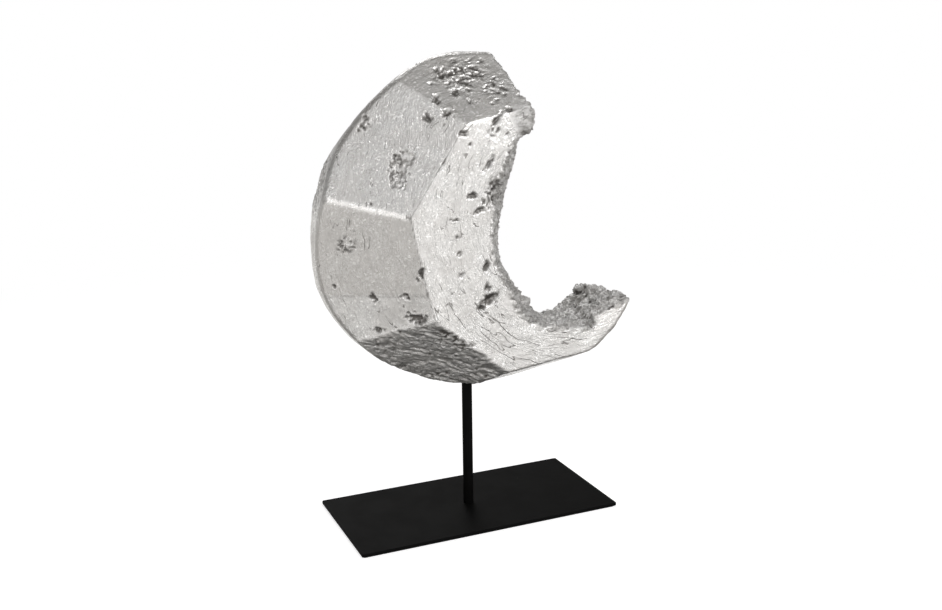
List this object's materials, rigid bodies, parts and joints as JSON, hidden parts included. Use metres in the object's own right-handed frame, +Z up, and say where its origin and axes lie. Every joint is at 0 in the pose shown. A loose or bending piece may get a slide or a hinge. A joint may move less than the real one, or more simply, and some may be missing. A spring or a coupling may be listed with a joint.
{
  "type": "crescent desk sculpture",
  "caption": "Silver-leafed faceted crescent casting with a broken inner edge, standing on a slim black post and a thin rectangular base plate; it turns on the post and lifts off.",
  "frame": {"origin": "centre of the felt liner's underside, where the stand rests, on the post's axis", "axes": "+Z up along the post, +X along the base plate's long side towards the crescent's open side, -Y out of the crescent's flat front face"},
  "size_m": [0.3457, 0.15, 0.509],
  "materials": {
    "silver_leaf": "satin",
    "bare_steel": "satin",
    "black_nylon": "matte",
    "black_coating": "satin",
    "screw_steel": "satin",
    "black_felt": "matte"
  },
  "bodies": {
    "stand": {"base_liner": "black_felt", "base_plate": "black_coating", "base_screw": "screw_steel", "post": "black_coating"},
    "swivel": {"swivel_washer": "black_nylon"},
    "moon": {"crescent": "silver_leaf", "socket_sleeve": "bare_steel", "sleeve_plug": "bare_steel"}
  },
  "joints": [
    {"name": "turn", "type": "hinge", "parent": "stand", "child": "swivel", "pos_m": [0, 0, 0.153], "axis": [0, 0, 1], "continuous": true},
    {"name": "lift", "type": "slide", "parent": "swivel", "child": "moon", "axis": [0, 0, 1], "range_m": [0, 0.08]}
  ]
}
